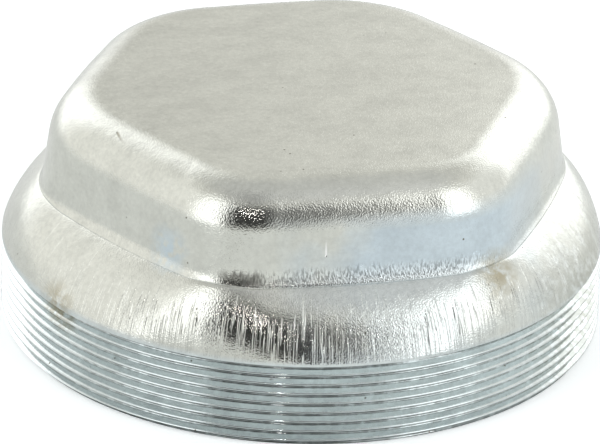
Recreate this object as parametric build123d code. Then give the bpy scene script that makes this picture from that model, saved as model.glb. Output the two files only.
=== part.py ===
from build123d import *
import math
import os

# Screw-on hub cap, deep drawn from one round blank of sheet steel. A round skirt carries the male thread
# that screws into the hub. Above it the shoulder turns from the round of the skirt into a hexagon, and a
# flat-topped hexagonal crown takes the spanner. The cap is hollow and open below.
# Millimetres and degrees. The rim stands on z = 0, the crown is up, and two flats face -Y and +Y.

# Driving dimensions: heights run between the sharp meets that the roundings then take off
thread_diameter = 90.0        # over the crests of the M90 x 1.5 thread
thread_pitch = 1.5
sheet_thickness = 2.5
skirt_height = 15.4           # rim to the meet of skirt and shoulder
shoulder_radius = 8.5         # rounding from skirt to shoulder, outside of the sheet
shoulder_rise = 7.8           # up to the crease, where shoulder and crown meet
shoulder_step = 8.6           # from the skirt in to the flats of the crown, at the crease
crease_radius = 3.0           # hollow rounding from shoulder to crown, outside of the sheet
crown_corner_radius = 16.0    # at the crease
crown_rise = 14.0             # crease to the flat top
crown_draft = 3.0             # lean of the flats towards the axis
top_corner_radius = 25.0      # the hexagon grows rounder towards its top
top_edge_radius = 8.0         # rounding from the flats to the flat top

# Worked out from the driving dimensions
skirt_radius = thread_diameter / 2
crown_across_flats = thread_diameter - 2 * shoulder_step
crown_apothem = crown_across_flats / 2
thread_depth = 0.613 * thread_pitch
draft = math.radians(crown_draft)
shoulder_lean = math.atan2(shoulder_step, shoulder_rise)


def rounded_hexagon(apothem, corner_radius, level):
    """Level hexagon with rounded corners and two flats facing -Y and +Y."""
    outline = RegularPolygon(apothem, 6, major_radius=False)
    return Pos(0, 0, level) * fillet(outline.vertices(), corner_radius)


def shared_circle(radius, apothem, corner_radius, level):
    """Level circle in twelve arcs, one for each flat and corner of a rounded hexagon.

    Each arc has its flat's or corner's share of the way round, so a loft between the two is smooth.
    """
    flat_length = 2 * (apothem - corner_radius) * math.tan(math.pi / 6)
    corner_length = corner_radius * math.pi / 3
    flat_angle = 60 * flat_length / (flat_length + corner_length)
    arcs = []
    for flat in range(6):
        start = 30 + 60 * flat - flat_angle / 2
        arcs.append(CenterArc((0, 0, level), radius, start, flat_angle))
        arcs.append(CenterArc((0, 0, level), radius, start + flat_angle, 60 - flat_angle))
    return make_face(arcs)


def edges_at(solid, level):
    """Edges that lie in the level plane at this height."""
    return solid.edges().filter_by_position(Axis.Z, level - 0.01, level + 0.01)


def drawn_form(inset, foot):
    """Solid form of the press tools: the outside of the sheet at inset 0, its inside at one thickness.

    The levels drop with the inset so that the sheet keeps its thickness on skirt, shoulder and crown.
    """
    bend = (shoulder_lean - draft) / 2
    middle = (shoulder_lean + draft) / 2
    radius = skirt_radius - inset
    apothem = crown_apothem - inset * math.cos(middle) / math.cos(bend)
    corner_radius = crown_corner_radius - inset
    shoulder_level = skirt_height - inset * math.tan(shoulder_lean / 2)
    crease_level = skirt_height + shoulder_rise - inset * math.sin(middle) / math.cos(bend)
    top_level = skirt_height + shoulder_rise + crown_rise - inset
    top_apothem = apothem - (top_level - crease_level) * math.tan(draft)

    round_end = shared_circle(radius, apothem, corner_radius, shoulder_level)
    waist = rounded_hexagon(apothem, corner_radius, crease_level)
    top = rounded_hexagon(top_apothem, top_corner_radius - inset, top_level)
    skirt = extrude(round_end, foot - shoulder_level)
    form = skirt + loft([round_end, waist], ruled=True) + loft([waist, top], ruled=True)
    form = fillet(edges_at(form, crease_level), crease_radius + inset)
    form = fillet(edges_at(form, shoulder_level), shoulder_radius - inset)
    return fillet(edges_at(form, top_level), top_edge_radius - inset)


# Hub cap: outside less inside, with a lead-in for the thread round the foot of the skirt
outside = drawn_form(0, 0)
outside = chamfer(edges_at(outside, 0), thread_depth)
hub_cap = outside - drawn_form(sheet_thickness, -sheet_thickness)

os.makedirs("parts", exist_ok=True)
export_step(hub_cap, "parts/hub_cap.step")
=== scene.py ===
import math
import bmesh
import bpy
from mathutils import Matrix, Vector


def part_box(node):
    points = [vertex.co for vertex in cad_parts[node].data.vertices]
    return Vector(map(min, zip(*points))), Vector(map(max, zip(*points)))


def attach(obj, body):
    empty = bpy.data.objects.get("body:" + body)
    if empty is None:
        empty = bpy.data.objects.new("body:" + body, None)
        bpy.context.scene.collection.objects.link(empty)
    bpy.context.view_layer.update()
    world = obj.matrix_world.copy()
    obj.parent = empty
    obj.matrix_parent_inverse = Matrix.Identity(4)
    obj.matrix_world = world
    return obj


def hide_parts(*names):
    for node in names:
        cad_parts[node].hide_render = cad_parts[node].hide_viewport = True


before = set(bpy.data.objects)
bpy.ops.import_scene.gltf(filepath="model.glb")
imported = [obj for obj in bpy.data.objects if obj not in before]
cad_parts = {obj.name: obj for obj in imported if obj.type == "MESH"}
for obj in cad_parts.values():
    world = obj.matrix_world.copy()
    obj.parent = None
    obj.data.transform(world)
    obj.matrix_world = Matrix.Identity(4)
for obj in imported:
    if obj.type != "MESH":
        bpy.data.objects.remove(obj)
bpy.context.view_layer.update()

# Hub cap, the drawn sheet. The cap is one piece of sheet steel, deep drawn from a round blank: a skirt, a
# shoulder that turns from round to hexagonal, a hollow crease and a flat-topped crown for the spanner. A
# grid stands for the blank, and each of its columns is bent over the roundings of the press tools.
mm = 0.001
skirt_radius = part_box("hub_cap")[1].x
cap_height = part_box("hub_cap")[1].z
sheet_thickness = 2.5 * mm
skirt_height = 15.4 * mm           # from the rim to the sharp meet of skirt and shoulder
thread_end = 13.4 * mm             # where thread and shoulder join
shoulder_radius = 8.5 * mm
shoulder_sweep = 0.083             # bulge of the shoulder's outside, as a share of its length
crease_level = 23.2 * mm
crease_radius = 3.0 * mm
press_line = 0.16 * mm             # half the width of the line that the press left along the crease
press_depth = 0.10 * mm
crown_apothem = 36.4 * mm          # from the axis to the flats, at the crease
crown_draft = math.radians(3.0)
crown_corner_radius = 16.0 * mm    # at the crease
top_corner_radius = 25.0 * mm
front_corner_less = 5.0 * mm       # the two front corners are tighter by this at the crease
front_top_less = 4.0 * mm          # and by this at the top
front_begin = 0.30                 # how far a column faces the front where they start to get tighter
front_blend = 0.42                 # and how much further until they are at their tightest
flat_turn = math.radians(3.5)      # the flats are slightly bowed, and turn this much each way
top_edge_radius = 7.6 * mm
top_slope = 0.03                   # slope of the top at the start of its edge
top_droop = 0.2 * mm               # how far the top has sunk there
droop_power = 4                    # the higher, the closer to the edge the top starts to sink
flat_columns = 35
corner_columns = 25
sector_columns = flat_columns + corner_columns
columns = 6 * sector_columns       # one for each degree
first_azimuth = 30 - flat_columns / 2
shoulder_steps = 12
slope_steps = 4
crease_steps = 8
top_edge_steps = 16
top_steps = 8
same_point = 0.001 * mm
same_level = 0.01 * mm
shoulder_lean = math.atan2(skirt_radius - crown_apothem, crease_level - skirt_height)


def bend(before, corner, after, normal, radius, steps, first_level=None):
    """Points of the arc that rounds a corner of a column, square to the wall, and the level it starts at.

    The arc is worked out in height and in distance along the normal, then laid along the column's own lines.
    With a first level, the points before it are left out.
    """
    back = Vector(((before - corner).dot(normal), before.z - corner.z)).normalized()
    on = Vector(((after - corner).dot(normal), after.z - corner.z)).normalized()
    half = back.angle(on) / 2
    centre = (back + on).normalized() * (radius / math.sin(half))
    start = back * (radius / math.tan(half)) - centre
    end = on * (radius / math.tan(half)) - centre
    turn = start.angle(end)
    first = 0.0
    if first_level is not None:
        first = math.asin((first_level - corner.z - centre.y) / radius)
    points = []
    for step in range(steps + 1):
        angle = first + (turn - first) * step / steps
        out, rise = centre + (start * math.sin(turn - angle) + end * math.sin(angle)) / math.sin(turn)
        line = before - corner if rise < 0 else after - corner
        base = line * (rise / line.z)
        points.append(corner + base + normal * (out - base.dot(normal)))
    return points, corner.z + centre.y + start.y


def drawn_column(column, inset):
    """One column of the sheet from rim to top centre, its outside at inset 0 or its inside at one thickness.

    The level at which its skirt starts to bend into the shoulder is given too.
    """
    sector, step = divmod(column, sector_columns)
    azimuth = math.radians(first_azimuth + column)
    radial = Vector((math.cos(azimuth), math.sin(azimuth), 0))
    flat_azimuth = math.radians(30 + 60 * sector)
    flat_normal = Vector((math.cos(flat_azimuth), math.sin(flat_azimuth), 0))
    along = Vector((-math.sin(flat_azimuth), math.cos(flat_azimuth), 0))
    side = 2 * min(step, flat_columns) / flat_columns - 1
    past = max(0, step - flat_columns) / corner_columns
    wall_azimuth = flat_azimuth + flat_turn * side + (math.pi / 3 - 2 * flat_turn) * past
    normal = Vector((math.cos(wall_azimuth), math.sin(wall_azimuth), 0))

    def hexagon(apothem, corner_radius, level):
        """Point of this column on a hexagon with rounded corners and slightly bowed flats."""
        reach = (apothem - corner_radius) * math.tan(math.pi / 6)
        core = flat_normal * (apothem - corner_radius) + along * (side * reach) + Vector((0, 0, level))
        if past:
            return core + normal * corner_radius
        flat_end = corner_radius * math.sin(flat_turn)
        bow = flat_turn * (reach + flat_end) * (1 - side ** 2) / 2
        return core + along * (side * flat_end) + flat_normal * (corner_radius * math.cos(flat_turn) + bow)

    bend_half = (shoulder_lean - crown_draft) / 2
    bend_middle = (shoulder_lean + crown_draft) / 2
    meet_z = skirt_height - inset * math.tan(shoulder_lean / 2)
    crease_z = crease_level - inset * math.sin(bend_middle) / math.cos(bend_half)
    top_z = cap_height - inset
    apothem = crown_apothem - inset * math.cos(bend_middle) / math.cos(bend_half)
    top_apothem = apothem - (top_z - crease_z) * math.tan(crown_draft)
    facing = min(1, max(0, (-radial.y - front_begin) / front_blend))
    front_share = facing * facing * (3 - 2 * facing)
    corner_radius = crown_corner_radius - front_corner_less * front_share - inset
    top_radius = top_corner_radius - front_top_less * front_share - inset
    edge_radius = top_edge_radius - inset
    foot = radial * (skirt_radius - inset)
    meet = foot + Vector((0, 0, meet_z))
    crease = hexagon(apothem, corner_radius, crease_z)
    edge = hexagon(top_apothem, top_radius, top_z - top_droop - top_slope * edge_radius)
    top = edge - normal + Vector((0, 0, top_slope))

    cut = None if inset else thread_end
    shoulder, arc_start = bend(foot, meet, crease, radial, shoulder_radius - inset, shoulder_steps, cut)
    hollow = bend(meet, crease, edge, normal, crease_radius + inset, crease_steps)[0]
    rounding = bend(crease, edge, top, normal, edge_radius, top_edge_steps)[0]
    if inset:
        shoulder += [shoulder[-1].lerp(hollow[0], step / slope_steps) for step in range(1, slope_steps)]
    else:
        pressed = hollow[0]
        outward = normal * math.cos(shoulder_lean) + Vector((0, 0, math.sin(shoulder_lean)))
        approach = pressed + (shoulder[-1] - pressed).normalized() * press_line
        leave = pressed + (hollow[1] - pressed).normalized() * press_line
        hollow = [approach, pressed - outward * press_depth, leave] + hollow[1:]
        chord = hollow[0] - shoulder[0]
        inward = Vector((chord.x, chord.y, 0))
        bulge = Vector((0, 0, inward.length)) - inward.normalized() * chord.z
        shares = [step / (shoulder_steps + slope_steps) for step in range(shoulder_steps + slope_steps)]
        shoulder = [shoulder[0] + chord * share + bulge * (4 * shoulder_sweep * share * (1 - share))
                    for share in shares]
    wall = [hollow[-1].lerp(rounding[0], step / slope_steps) for step in range(1, slope_steps)]
    flat = []
    for step in range(1, top_steps + 1):
        share = 1 - step / top_steps
        flat.append(rounding[-1] * share)
        flat[-1].z = top_z - (top_z - rounding[-1].z) * share ** droop_power
    return [foot] + shoulder + hollow + wall + rounding + flat, arc_start


cap = bmesh.new()
for inset in (0, sheet_thickness):
    drawn = [drawn_column(column, inset) for column in range(columns)]
    if not inset:
        arc_starts = [arc_start for points, arc_start in drawn]
    rows = len(drawn[0][0]) - 1
    blank = bmesh.ops.create_grid(cap, x_segments=columns, y_segments=rows, size=1)["verts"]
    for index, vert in enumerate(blank):
        row, column = divmod(index, columns + 1)
        vert.co = drawn[column % columns][0][row]
bmesh.ops.remove_doubles(cap, verts=cap.verts, dist=same_point)
plain_skirt = [face for face in cap.faces if max(vert.co.z for vert in face.verts) < thread_end + same_level
               and max(vert.co.xy.length for vert in face.verts) > skirt_radius - sheet_thickness / 2]
bmesh.ops.delete(cap, geom=plain_skirt, context="FACES")

# Hub cap, the thread. The skirt carries a fine right-hand thread, M90 x 1.5, with a lead-in at the rim and a
# short run-out under the shoulder. One pitch of its profile is spun up the helix, cut off level at both ends
# and let into the skirt, so that cap and thread stay one piece.
thread_pitch = 1.5 * mm
thread_depth = 0.613 * thread_pitch    # the usual share for a metric thread
crest_width = thread_pitch / 8
flank_rise = thread_depth * math.tan(math.radians(30))
root_radius = skirt_radius - thread_depth
edge_round = 0.09 * mm
crest_segments = 4
root_segments = 1
run_out = 1.1 * mm
turn_gap = 0.002 * mm                  # the end of one turn and the start of the next are no further apart
cut_gap = 0.0001 * mm
sharp_angle = math.radians(50)
profile = [(root_radius, -thread_pitch / 2),
           (root_radius, -crest_width / 2 - flank_rise),
           (skirt_radius, -crest_width / 2),
           (skirt_radius, crest_width / 2),
           (root_radius, crest_width / 2 + flank_rise),
           (root_radius, thread_pitch / 2)]
start_turn = Matrix.Rotation(math.radians(first_azimuth), 3, "Z")
thread = bmesh.new()
tip = bmesh.ops.create_vert(thread)["vert"][0]
for radius, level in profile:
    if level > -thread_pitch / 2:
        tip = bmesh.ops.extrude_vert_indiv(thread, verts=[tip])["verts"][0]
    tip.co = start_turn @ Vector((radius, 0, level - thread_pitch))
corners = [vert for vert in thread.verts if len(vert.link_edges) == 2]
crests = [vert for vert in corners if vert.co.xy.length > skirt_radius - thread_depth / 2]
roots = [vert for vert in corners if vert not in crests]
for meets, segments in ((crests, crest_segments), (roots, root_segments)):
    bmesh.ops.bevel(thread, geom=meets, offset=edge_round, offset_type="ABSOLUTE", segments=segments,
                    profile=0.5, affect="VERTICES", material=-1)
bmesh.ops.spin(thread, geom=thread.verts[:] + thread.edges[:], cent=(0, 0, 0), axis=(0, 0, 1),
               dvec=(0, 0, thread_pitch / columns), angle=2 * math.pi, steps=columns)
one_turn = thread.verts[:] + thread.edges[:] + thread.faces[:]
for turn in range(1, math.ceil(thread_end / thread_pitch) + 2):
    copy = bmesh.ops.duplicate(thread, geom=one_turn)["geom"]
    bmesh.ops.translate(thread, verts=[part for part in copy if isinstance(part, bmesh.types.BMVert)],
                        vec=(0, 0, turn * thread_pitch))
bmesh.ops.remove_doubles(thread, verts=thread.verts, dist=turn_gap)
for level, outward in ((0, -1), (thread_end, 1)):
    bmesh.ops.bisect_plane(thread, geom=thread.verts[:] + thread.edges[:] + thread.faces[:], dist=cut_gap,
                           plane_co=(0, 0, level), plane_no=(0, 0, outward), clear_outer=True)


def column_of(vert):
    """The column of the sheet that a vertex of the skirt is nearest to."""
    return round(math.degrees(math.atan2(vert.co.y, vert.co.x)) - first_azimuth) % columns


# the thread follows the foot of the shoulder's rounding, gets shallower along its run-out, and has a
# lead-in at 45 degrees
for vert in thread.verts:
    level = vert.co.z
    radius = vert.co.xy.length
    above_arc = max(0, level - arc_starts[column_of(vert)])
    form_radius = skirt_radius - shoulder_radius + math.sqrt(shoulder_radius ** 2 - above_arc ** 2)
    groove = (skirt_radius - radius) * min(1, (thread_end - level) / run_out)
    vert.co.xy *= min(form_radius, skirt_radius - groove, root_radius + level) / radius
thread_mesh = bpy.data.meshes.new("thread")
thread.to_mesh(thread_mesh)
thread.free()
shoulder_ring = {column_of(vert): vert for vert in cap.verts
                 if vert.is_boundary and abs(vert.co.z - thread_end) < same_level}
cap.from_mesh(thread_mesh)
bpy.data.meshes.remove(thread_mesh)
thread_ring = [vert for vert in cap.verts if vert.is_boundary and abs(vert.co.z - thread_end) < same_level
               and vert is not shoulder_ring[column_of(vert)]]
bmesh.ops.weld_verts(cap, targetmap={vert: shoulder_ring[column_of(vert)] for vert in thread_ring})
rim_edges = [edge for edge in cap.edges if edge.is_boundary]
bmesh.ops.bridge_loops(cap, edges=rim_edges)
bmesh.ops.recalc_face_normals(cap, faces=cap.faces)
for face in cap.faces:
    face.smooth = True
for edge in cap.edges:
    if len(edge.link_faces) == 2 and edge.calc_face_angle() > sharp_angle:
        edge.smooth = False
cap_mesh = bpy.data.meshes.new("hub_cap_drawn")
cap.to_mesh(cap_mesh)
cap.free()
hub_cap = bpy.data.objects.new("hub_cap_drawn", cap_mesh)
bpy.context.collection.objects.link(hub_cap)
even = hub_cap.modifiers.new("normals by face area", "WEIGHTED_NORMAL")
even.keep_sharp = True
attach(hub_cap, "root")
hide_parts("hub_cap")


def linear(colour):
    """Scene-linear colour of an sRGB hex string such as "c8ccc8"."""
    shares = [int(colour[digit:digit + 2], 16) / 255 for digit in (0, 2, 4)]
    return [share / 12.92 if share <= 0.04045 else ((share + 0.055) / 1.055) ** 2.4
            for share in shares] + [1]


def add_node(tree, kind, inputs=None, output=None, **settings):
    """Adds a node to a tree, with its settings and with a value or a link for each input that is named.

    Gives the output of that name, or else the first one that is in use.
    """
    node = tree.nodes.new(kind)
    for name, value in settings.items():
        setattr(node, name, value)
    for name, value in (inputs or {}).items():
        if isinstance(value, bpy.types.NodeSocket):
            tree.links.new(value, node.inputs[name])
        else:
            node.inputs[name].default_value = value
    if output:
        return node.outputs[output]
    return next((socket for socket in node.outputs if socket.enabled), None)


# zinc plate on the drawn steel: a bright metal that sparkles with a fine grain, with a faint straw and blue
# tint from its clear passivation
zinc = bpy.data.materials.new("zinc_plated_steel")
zinc.use_nodes = True
tree = zinc.node_tree
tree.nodes.clear()
place = add_node(tree, "ShaderNodeTexCoord", output="Object")
height = add_node(tree, "ShaderNodeSeparateXYZ", {"Vector": place}, "Z")
across = height.node.outputs["X"]

# grain of the plating, and the slower unevenness of the drawn sheet under it. The real grain is too fine
# to show, so it is drawn coarser. The cut thread is smoother, and so are the crown's walls, which the die
# ironed.
grain_width = mm / 4.4
grain_depth = 0.042 * mm
peel_width = mm / 0.45
peel_depth = 0.016 * mm
thread_grain = 0.08
ironed_grain = 0.55
ironed_top = 29.5 * mm
drawn_share = add_node(tree, "ShaderNodeMapRange", {"Value": height, "From Min": thread_end - 0.8 * mm,
                                                    "From Max": thread_end - 0.1 * mm,
                                                    "To Min": thread_grain})
wall_foot = add_node(tree, "ShaderNodeMapRange", {"Value": height, "From Min": crease_level + 0.4 * mm,
                                                  "From Max": crease_level + 1.2 * mm})
wall_head = add_node(tree, "ShaderNodeMapRange", {"Value": height, "From Min": ironed_top + 3.0 * mm,
                                                  "From Max": ironed_top})
ironed = add_node(tree, "ShaderNodeMath", {0: wall_foot, 1: wall_head}, operation="MULTIPLY")
wall_grain = add_node(tree, "ShaderNodeMapRange", {"Value": ironed, "To Min": 1.0, "To Max": ironed_grain})
grain_share = add_node(tree, "ShaderNodeMath", {0: drawn_share, 1: wall_grain}, operation="MULTIPLY")
grain = add_node(tree, "ShaderNodeTexNoise", {"Vector": place, "Scale": 1 / grain_width, "Detail": 1.0})
grain_relief = add_node(tree, "ShaderNodeMath", {0: grain, 1: grain_share}, operation="MULTIPLY")
grain_bump = add_node(tree, "ShaderNodeBump", {"Height": grain_relief, "Distance": grain_depth})
peel = add_node(tree, "ShaderNodeTexNoise", {"Vector": place, "Scale": 1 / peel_width, "Detail": 1.0})
peel_relief = add_node(tree, "ShaderNodeMath", {0: peel, 1: grain_share}, operation="MULTIPLY")
peel_bump = add_node(tree, "ShaderNodeBump", {"Height": peel_relief, "Distance": peel_depth,
                                              "Normal": grain_bump})

# draw marks: fine scores with ragged ends that run up the front of the shoulder, where the sheet was pulled
# over the die
score_spacing = mm / 3.8
score_depth = 0.10 * mm
score_stretch = 0.03
score_level = 25.0 * mm
side_scores = 0.15
ragged_spacing = mm / 1.1
ragged_height = 14 * mm
level_place = add_node(tree, "ShaderNodeVectorMath", {0: place, 1: (1, 1, 0)}, operation="MULTIPLY")
round_way = add_node(tree, "ShaderNodeVectorMath", {0: level_place}, operation="NORMALIZE")
round_place = add_node(tree, "ShaderNodeVectorMath", {0: round_way, "Scale": skirt_radius},
                       operation="SCALE")
up_place = add_node(tree, "ShaderNodeVectorMath", {0: place, 1: (0, 0, score_stretch)},
                    operation="MULTIPLY")
draw_place = add_node(tree, "ShaderNodeVectorMath", {0: round_place, 1: up_place}, operation="ADD")
scores = add_node(tree, "ShaderNodeTexNoise", {"Vector": draw_place, "Scale": 1 / score_spacing,
                                               "Detail": 1.0})
score_lines = add_node(tree, "ShaderNodeMapRange", {"Value": scores, "From Min": 0.53, "From Max": 0.63})
ragged = add_node(tree, "ShaderNodeTexNoise", {"Vector": round_place, "Scale": 1 / ragged_spacing,
                                               "Detail": 1.0})
score_end = add_node(tree, "ShaderNodeMath", {0: ragged, 1: ragged_height, 2: height},
                     operation="MULTIPLY_ADD")
score_top = add_node(tree, "ShaderNodeMapRange", {"Value": score_end, "From Min": score_level + 1.5 * mm,
                                                  "From Max": score_level})
score_foot = add_node(tree, "ShaderNodeMapRange", {"Value": height, "From Min": thread_end - 0.5 * mm,
                                                   "From Max": thread_end + 0.1 * mm})
score_zone = add_node(tree, "ShaderNodeMath", {0: score_top, 1: score_foot}, operation="MULTIPLY")
front = add_node(tree, "ShaderNodeVectorMath", {0: round_way, 1: (0, -1, 0)}, operation="DOT_PRODUCT")
front_zone = add_node(tree, "ShaderNodeMapRange", {"Value": front, "From Min": 0.60, "From Max": 0.88,
                                                   "To Min": side_scores})
front_lines = add_node(tree, "ShaderNodeMath", {0: score_lines, 1: front_zone}, operation="MULTIPLY")
score_relief = add_node(tree, "ShaderNodeMath", {0: front_lines, 1: score_zone}, operation="MULTIPLY")
score_bump = add_node(tree, "ShaderNodeBump", {"Height": score_relief, "Distance": score_depth,
                                               "Normal": peel_bump})

# scuffed band: short upright scratches where the edge of the die rubbed the foot of the crown
scuff_spacing = mm / 4.2
scuff_depth = 0.08 * mm
scuff_stretch = 0.25
scuff_level = 25.4 * mm
scuff_ragged = 2.4 * mm
side_scuffs = 0.1
scuff_place = add_node(tree, "ShaderNodeVectorMath", {0: place, 1: (1, 1, scuff_stretch)},
                       operation="MULTIPLY")
scuffs = add_node(tree, "ShaderNodeTexNoise", {"Vector": scuff_place, "Scale": 1 / scuff_spacing,
                                               "Detail": 1.0})
scuff_end = add_node(tree, "ShaderNodeMath", {0: ragged, 1: scuff_ragged, 2: height},
                     operation="MULTIPLY_ADD")
scuff_top = add_node(tree, "ShaderNodeMapRange", {"Value": scuff_end, "From Min": scuff_level + 0.9 * mm,
                                                  "From Max": scuff_level})
scuff_foot = add_node(tree, "ShaderNodeMapRange", {"Value": height, "From Min": crease_level - 0.7 * mm,
                                                   "From Max": crease_level - 0.4 * mm})
scuff_front = add_node(tree, "ShaderNodeMapRange", {"Value": front, "From Min": 0.84, "From Max": 0.93,
                                                    "To Min": side_scuffs})
scuff_band = add_node(tree, "ShaderNodeMath", {0: scuff_top, 1: scuff_foot}, operation="MULTIPLY")
scuff_zone = add_node(tree, "ShaderNodeMath", {0: scuff_band, 1: scuff_front}, operation="MULTIPLY")
scuff_relief = add_node(tree, "ShaderNodeMath", {0: scuffs, 1: scuff_zone}, operation="MULTIPLY")
scuff_bump = add_node(tree, "ShaderNodeBump", {"Height": scuff_relief, "Distance": scuff_depth,
                                               "Normal": score_bump})

# tint: straw over most of the cap, blue in clouds on the front flat and round to the right, and a cooler
# white on the cut thread
straw = "dee0d9"
blue = "d3e0e8"
thread_white = "e2eaeb"
cloud_width = mm / 0.07
clouds = add_node(tree, "ShaderNodeTexNoise", {"Vector": place, "Scale": 1 / cloud_width, "Detail": 3.0})
cloud_share = add_node(tree, "ShaderNodeMapRange", {"Value": clouds, "From Min": 0.33, "From Max": 0.52})
blue_right = add_node(tree, "ShaderNodeMapRange", {"Value": across, "From Min": -12.5 * mm,
                                                   "From Max": -7 * mm})
blue_top = add_node(tree, "ShaderNodeMapRange", {"Value": height, "From Min": 33 * mm, "From Max": 30 * mm})
blue_foot = add_node(tree, "ShaderNodeMapRange", {"Value": height, "From Min": 22 * mm, "From Max": 25 * mm,
                                                  "To Min": 0.4})
blue_front = add_node(tree, "ShaderNodeMapRange", {"Value": front, "From Min": 0.45, "From Max": 0.85,
                                                   "To Min": 0.3})
blue_band = add_node(tree, "ShaderNodeMath", {0: blue_foot, 1: blue_top}, operation="MULTIPLY")
blue_side = add_node(tree, "ShaderNodeMath", {0: blue_right, 1: blue_band}, operation="MULTIPLY")
blue_clouds = add_node(tree, "ShaderNodeMath", {0: blue_side, 1: cloud_share}, operation="MULTIPLY")
blue_share = add_node(tree, "ShaderNodeMath", {0: blue_clouds, 1: blue_front}, operation="MULTIPLY")
tint = add_node(tree, "ShaderNodeMix", {"Factor": blue_share, "A": linear(straw), "B": linear(blue)},
                data_type="RGBA")
skirt_share = add_node(tree, "ShaderNodeMapRange", {"Value": height, "From Min": thread_end + 0.4 * mm,
                                                    "From Max": thread_end - 0.4 * mm})
clean = add_node(tree, "ShaderNodeMix", {"Factor": skirt_share, "A": tint, "B": linear(thread_white)},
                 data_type="RGBA")

# handling marks: fine mottle, wide smudges and dark strokes between the scuffs; and the colour a little
# darker towards the left
mottle_width = mm / 1.5
smudge_width = mm / 0.26
smudge_stretch = 0.7
left_darkening_reach = 25 * mm
mottle = add_node(tree, "ShaderNodeTexNoise", {"Vector": place, "Scale": 1 / mottle_width, "Detail": 3.0,
                                               "Roughness": 0.6})
mottle_level = add_node(tree, "ShaderNodeMapRange", {"Value": mottle, "From Min": 0.3, "From Max": 0.7,
                                                     "To Min": 0.91, "To Max": 1.03})
smudge_place = add_node(tree, "ShaderNodeMapping", {"Vector": place, "Scale": (smudge_stretch, 1, 1)})
smudge = add_node(tree, "ShaderNodeTexNoise", {"Vector": smudge_place, "Scale": 1 / smudge_width,
                                               "Detail": 4.0, "Roughness": 0.65})
smudge_level = add_node(tree, "ShaderNodeMapRange", {"Value": smudge, "From Min": 0.3, "From Max": 0.6,
                                                     "To Min": 0.90, "To Max": 1.02})
left_darkening = add_node(tree, "ShaderNodeMapRange", {"Value": across, "From Min": -left_darkening_reach,
                                                  "From Max": left_darkening_reach, "To Min": 0.92, "To Max": 1.03})
stroke_level = add_node(tree, "ShaderNodeMapRange", {"Value": scuffs, "From Min": 0.40, "From Max": 0.56,
                                                     "To Min": 0.62, "To Max": 1.1})
smudged = add_node(tree, "ShaderNodeMath", {0: mottle_level, 1: smudge_level}, operation="MULTIPLY")
uneven = add_node(tree, "ShaderNodeMath", {0: smudged, 1: left_darkening}, operation="MULTIPLY")
marks = add_node(tree, "ShaderNodeMix", {"Factor": scuff_zone, "A": uneven, "B": stroke_level},
                 data_type="RGBA")
handled = add_node(tree, "ShaderNodeMix", {"Factor": 1.0, "A": clean, "B": marks}, data_type="RGBA",
                   blend_type="MULTIPLY")

# painted shade: a dark, blotchy line painted into the root of the thread, for the shade that falls under
# each crest
root_shade = "4c4f4b"
blotch_width = mm / 0.7
root_distance = add_node(tree, "ShaderNodeVectorMath", {0: level_place}, operation="LENGTH")
in_root = add_node(tree, "ShaderNodeMapRange", {"Value": root_distance, "From Min": root_radius + 0.22 * mm,
                                                "From Max": root_radius + 0.06 * mm})
outside = add_node(tree, "ShaderNodeMath", {0: root_distance, 1: root_radius - 0.5 * mm},
                   operation="GREATER_THAN")
root_zone = add_node(tree, "ShaderNodeMath", {0: in_root, 1: outside}, operation="MULTIPLY")
root_shade_zone = add_node(tree, "ShaderNodeMath", {0: root_zone, 1: skirt_share}, operation="MULTIPLY")
blotches = add_node(tree, "ShaderNodeTexNoise", {"Vector": place, "Scale": 1 / blotch_width, "Detail": 3.0})
blotch_share = add_node(tree, "ShaderNodeMapRange", {"Value": blotches, "From Min": 0.36, "From Max": 0.54})
root_shade_level = add_node(tree, "ShaderNodeMapRange", {"Value": blotch_share, "To Min": 0.2, "To Max": 0.55})
root_shade_share = add_node(tree, "ShaderNodeMath", {0: root_shade_zone, 1: root_shade_level}, operation="MULTIPLY")
shaded_and_stained = add_node(tree, "ShaderNodeMix", {"Factor": root_shade_share, "A": handled, "B": linear(root_shade)},
                   data_type="RGBA")

# stains: brown where damp got through the plating, in one corner of the crease and one spot of the thread; a
# wide, darker olive-grey patch over the right end of the thread; and a blue patch at the foot of the left
# flat where the passivation is thicker
patch_strength = 0.6
patch_core = 0.5 * mm
for centre, reach, shade in (((21.0, -36.0, 21.5), 4.5, "a08f5e"),
                             ((-40.5, -18.5, 12.5), 4.5, "94834f"),
                             ((38.0, -24.0, 8.0), 20.0, "8a8873"),
                             ((-26.0, -27.7, 25.2), 4.5, "bfd4e4")):
    far = add_node(tree, "ShaderNodeVectorMath", {0: place, 1: Vector(centre) * mm}, operation="DISTANCE")
    near = add_node(tree, "ShaderNodeMapRange", {"Value": far, "From Min": reach * mm,
                                                 "From Max": patch_core, "To Max": patch_strength})
    patch_share = add_node(tree, "ShaderNodeMath", {0: near, 1: blotch_share}, operation="MULTIPLY")
    shaded_and_stained = add_node(tree, "ShaderNodeMix", {"Factor": patch_share, "A": shaded_and_stained, "B": linear(shade)},
                       data_type="RGBA")

# grease: a dark smear left in the crease under the front left corner
grease = "3f3a31"
grease_centre = Vector((-17.0, -35.4, 23.6)) * mm
grease_strength = 0.6
smear_far = add_node(tree, "ShaderNodeVectorMath", {0: place, 1: grease_centre}, operation="DISTANCE")
smear_near = add_node(tree, "ShaderNodeMapRange", {"Value": smear_far, "From Min": 3.8 * mm,
                                                   "From Max": 2.0 * mm, "To Max": grease_strength})
smear_top = add_node(tree, "ShaderNodeMapRange", {"Value": scuff_end, "From Min": 25.9 * mm,
                                                  "From Max": 25.2 * mm})
smear_band = add_node(tree, "ShaderNodeMath", {0: smear_top, 1: scuff_foot}, operation="MULTIPLY")
smear_share = add_node(tree, "ShaderNodeMath", {0: smear_near, 1: smear_band}, operation="MULTIPLY")
greased = add_node(tree, "ShaderNodeMix", {"Factor": smear_share, "A": shaded_and_stained, "B": linear(grease)},
                   data_type="RGBA")

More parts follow.
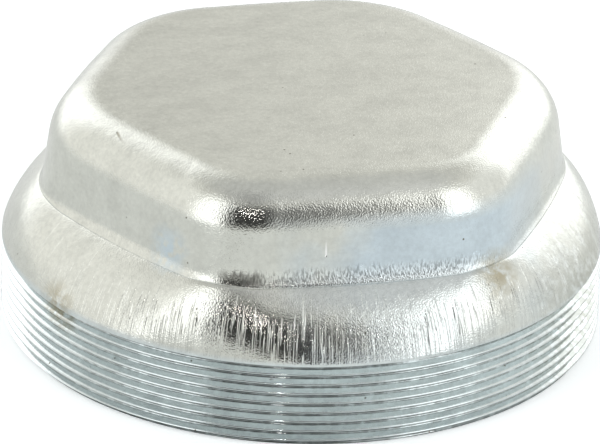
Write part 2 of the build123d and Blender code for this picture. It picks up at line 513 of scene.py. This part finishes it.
# pits: dark pin holes in the plating, a few millimetres apart
pit_colour = "6b685c"
pit_spacing = mm / 0.3
pit_distance = add_node(tree, "ShaderNodeTexVoronoi", {"Vector": place, "Scale": 1 / pit_spacing},
                        "Distance")
pit_dots = add_node(tree, "ShaderNodeMapRange", {"Value": pit_distance, "From Min": 0.055,
                                                 "From Max": 0.03})
pit_chance = add_node(tree, "ShaderNodeSeparateColor", {"Color": pit_distance.node.outputs["Color"]}, "Red")
pit_few = add_node(tree, "ShaderNodeMath", {0: pit_chance, 1: 0.55}, operation="GREATER_THAN")
pit_share = add_node(tree, "ShaderNodeMath", {0: pit_dots, 1: pit_few}, operation="MULTIPLY")
colour = add_node(tree, "ShaderNodeMix", {"Factor": pit_share, "A": greased, "B": linear(pit_colour)},
                  data_type="RGBA")

# scratches: bright ones down the front flat and across the thread, and to the left dull ones over the top
# edge and on the shoulder
bright_scratch = "ffffff"
dull_scratch = "b2b0a5"
scratch_reach = 0.22 * mm
scratch_core = 0.04 * mm
scratch_depth = 0.08 * mm
scratch_relief = 0.0
for start, end, shade in (((-4.9, -35.8, 31.2), (-4.9, -36.6, 26.8), bright_scratch),
                          ((-30.6, -10.7, 36.3), (-29.5, -16.6, 34.7), dull_scratch),
                          ((-30.2, -27.6, 19.6), (-31.6, -28.9, 17.6), dull_scratch),
                          ((-14.0, -42.0, 10.1), (-13.4, -42.2, 11.2), bright_scratch)):
    first = Vector(start) * mm
    line = Vector(end) * mm - first
    offset = add_node(tree, "ShaderNodeVectorMath", {0: place, 1: first}, operation="SUBTRACT")
    run = add_node(tree, "ShaderNodeVectorMath", {0: offset, 1: line / line.length_squared},
                   operation="DOT_PRODUCT")
    held = add_node(tree, "ShaderNodeClamp", {"Value": run})
    nearest = add_node(tree, "ShaderNodeVectorMath", {0: line, "Scale": held}, operation="SCALE")
    gap = add_node(tree, "ShaderNodeVectorMath", {0: offset, 1: nearest}, operation="DISTANCE")
    cut = add_node(tree, "ShaderNodeMapRange", {"Value": gap, "From Min": scratch_reach,
                                                "From Max": scratch_core})
    colour = add_node(tree, "ShaderNodeMix", {"Factor": cut, "A": colour, "B": linear(shade)},
                      data_type="RGBA")
    scratch_relief = add_node(tree, "ShaderNodeMath", {0: cut, 1: scratch_relief}, operation="MAXIMUM")
scratch_bump = add_node(tree, "ShaderNodeBump", {"Height": scratch_relief, "Distance": scratch_depth,
                                                 "Normal": scuff_bump}, invert=True)

# the plate is smooth and mirrors the room, and only the scuffs are dull
plate_roughness = 0.10
scuff_roughness = 0.34
roughness = add_node(tree, "ShaderNodeMapRange", {"Value": scuff_zone, "To Min": plate_roughness,
                                                  "To Max": scuff_roughness})
steel = add_node(tree, "ShaderNodeBsdfPrincipled", {"Base Color": colour, "Metallic": 1.0,
                                                    "Roughness": roughness, "Normal": scratch_bump})
add_node(tree, "ShaderNodeOutputMaterial", {"Surface": steel})
cap_mesh.materials.append(zinc)

# Studio table. The cap stands on a plain white table, a hair below the rim so that the two faces stay apart.
# The table is open under the cap, where only a view from below can see it, so that light reaches the hollow.
floor_radius = 6.0
floor_opening = root_radius - 0.1 * mm
floor_level = -0.02 * mm
floor_segments = 96
floor_white = "f4f6f6"
floor_glow_white = "f4f8fa"
floor_glow = 0.45
floor_build = bmesh.new()
bmesh.ops.create_circle(floor_build, segments=floor_segments, radius=floor_opening)
spread_out = bmesh.ops.extrude_edge_only(floor_build, edges=floor_build.edges[:])["geom"]
floor_rim = [part for part in spread_out if isinstance(part, bmesh.types.BMVert)]
bmesh.ops.scale(floor_build, vec=Vector((1, 1, 1)) * (floor_radius / floor_opening), verts=floor_rim)
bmesh.ops.translate(floor_build, vec=(0, 0, floor_level), verts=floor_build.verts)
floor_build.normal_update()
turned_down = [face for face in floor_build.faces if face.normal.z < 0]
bmesh.ops.reverse_faces(floor_build, faces=turned_down)
floor_mesh = bpy.data.meshes.new("table")
floor_build.to_mesh(floor_mesh)
floor_build.free()
floor = bpy.data.objects.new("table", floor_mesh)
bpy.context.collection.objects.link(floor)

# white laminate: matt, brought up to the white of the background for the camera alone, and clear from below
laminate = bpy.data.materials.new("white_laminate")
laminate.use_nodes = True
tree = laminate.node_tree
tree.nodes.clear()
seen = add_node(tree, "ShaderNodeLightPath", output="Is Camera Ray")
glow_strength = add_node(tree, "ShaderNodeMath", {0: seen, 1: floor_glow}, operation="MULTIPLY")
glow = add_node(tree, "ShaderNodeEmission", {"Color": linear(floor_glow_white), "Strength": glow_strength})
matt = add_node(tree, "ShaderNodeBsdfDiffuse", {"Color": linear(floor_white)})
lit = add_node(tree, "ShaderNodeAddShader", {0: glow, 1: matt})
clear = add_node(tree, "ShaderNodeBsdfTransparent")
underneath = add_node(tree, "ShaderNodeNewGeometry", output="Backfacing")
both = add_node(tree, "ShaderNodeMixShader", {0: underneath, 1: lit, 2: clear})
add_node(tree, "ShaderNodeOutputMaterial", {"Surface": both})
floor_mesh.materials.append(laminate)

# Studio light. A white room with a grey ceiling, a soft box on either side of a dark camera end, two soft
# lights at the back and one small bare lamp, all laid out round the camera's azimuth.
camera_azimuth = -13.2
world = bpy.data.worlds.new("studio")
bpy.context.scene.world = world
world.use_nodes = True
tree = world.node_tree
tree.nodes.clear()
toward = add_node(tree, "ShaderNodeTexCoord", output="Generated")
from_camera = add_node(tree, "ShaderNodeMapping", {"Vector": toward,
                                                   "Rotation": (0, 0, math.radians(-camera_azimuth))})
sine = add_node(tree, "ShaderNodeSeparateXYZ", {"Vector": from_camera}, "Z")
rightward = sine.node.outputs["X"]
backward = add_node(tree, "ShaderNodeMath", {0: sine.node.outputs["Y"], 1: -1.0}, operation="MULTIPLY")
around = add_node(tree, "ShaderNodeMath", {0: rightward, 1: backward}, operation="ARCTAN2")
above = add_node(tree, "ShaderNodeMath", {0: sine}, operation="ARCSINE")


def panel(room, left, right, low, high, soft, colour):
    """Lays a soft-edged panel over the room, between two azimuths and two elevations in degrees."""
    mask = 1.0
    for angle, edge, sign in ((around, left, 1), (around, right, -1), (above, low, 1), (above, high, -1)):
        step = add_node(tree, "ShaderNodeMapRange", {"Value": angle,
                                                     "From Min": math.radians(edge - sign * soft / 2),
                                                     "From Max": math.radians(edge + sign * soft / 2)},
                        interpolation_type="SMOOTHSTEP")
        mask = add_node(tree, "ShaderNodeMath", {0: mask, 1: step}, operation="MULTIPLY")
    return add_node(tree, "ShaderNodeMix", {"Factor": mask, "A": room, "B": (*colour, 1)}, data_type="RGBA")


no_edge = 400
down = -90
room = (0.78, 0.77, 0.73, 1)
# side walls
room = panel(room, -132, -66, down, 48, 10, (1.10, 1.09, 1.05))
room = panel(room, 70, 132, down, 48, 10, (0.94, 0.94, 0.92))
# ceiling, darker over the camera and lighter to its right
room = panel(room, -no_edge, no_edge, 60, no_edge, 16, (0.69, 0.69, 0.68))
room = panel(room, -45, 14, 55, 85, 10, (0.48, 0.48, 0.48))
room = panel(room, 22, 80, 56, 82, 10, (0.78, 0.78, 0.78))
# soft lights at the back
room = panel(room, -166, -130, down, 48, 20, (1.75, 1.75, 1.75))
room = panel(room, 130, 170, down, 42, 20, (1.75, 1.75, 1.75))
# soft boxes beside the camera
room = panel(room, -67, -34, down, 51, 9, (1.85, 1.85, 1.85))
room = panel(room, 38, 71, down, 52, 10, (1.85, 1.85, 1.85))
# camera end, dim to the right and dark to the left, with a low light wall at its right
room = panel(room, -34, 34, 3, 49, 8, (0.30, 0.30, 0.30))
room = panel(room, -34, 15, 3, 49, 8, (0.06, 0.06, 0.06))
room = panel(room, 18, 40, down, 17, 9, (0.80, 0.82, 0.83))
# bare lamp
room = panel(room, -8.2, -6, 34, 37, 1, (50.0, 47.0, 46.5))
seen = add_node(tree, "ShaderNodeLightPath", output="Is Camera Ray")
shown = add_node(tree, "ShaderNodeMix", {"Factor": seen, "A": room, "B": (1, 1, 1, 1)}, data_type="RGBA")
sky = add_node(tree, "ShaderNodeBackground", {"Color": shown, "Strength": 1.0})
add_node(tree, "ShaderNodeOutputWorld", {"Surface": sky})

# Camera. It stands 0.9 m off with a long lens and looks down on the front of the cap, with a slight roll.
camera_distance = 0.9
camera_elevation = math.radians(26.58)
camera_pan = math.radians(-13.177)
camera_tilt = math.radians(64.239)
camera_roll = math.radians(1.74)
camera_data = bpy.data.cameras.new("camera")
camera_data.lens = 357.5
camera_data.sensor_width = 36.0
camera = bpy.data.objects.new("camera", camera_data)
bpy.context.collection.objects.link(camera)
level_distance = camera_distance * math.cos(camera_elevation)
stand = Vector((level_distance * math.sin(math.radians(camera_azimuth)),
                -level_distance * math.cos(math.radians(camera_azimuth)),
                camera_distance * math.sin(camera_elevation)))
camera.matrix_world = (Matrix.Translation(stand) @ Matrix.Rotation(camera_pan, 4, "Z")
                       @ Matrix.Rotation(camera_tilt, 4, "X") @ Matrix.Rotation(camera_roll, 4, "Z"))
bpy.context.scene.camera = camera
bpy.context.scene.view_settings.view_transform = "Standard"
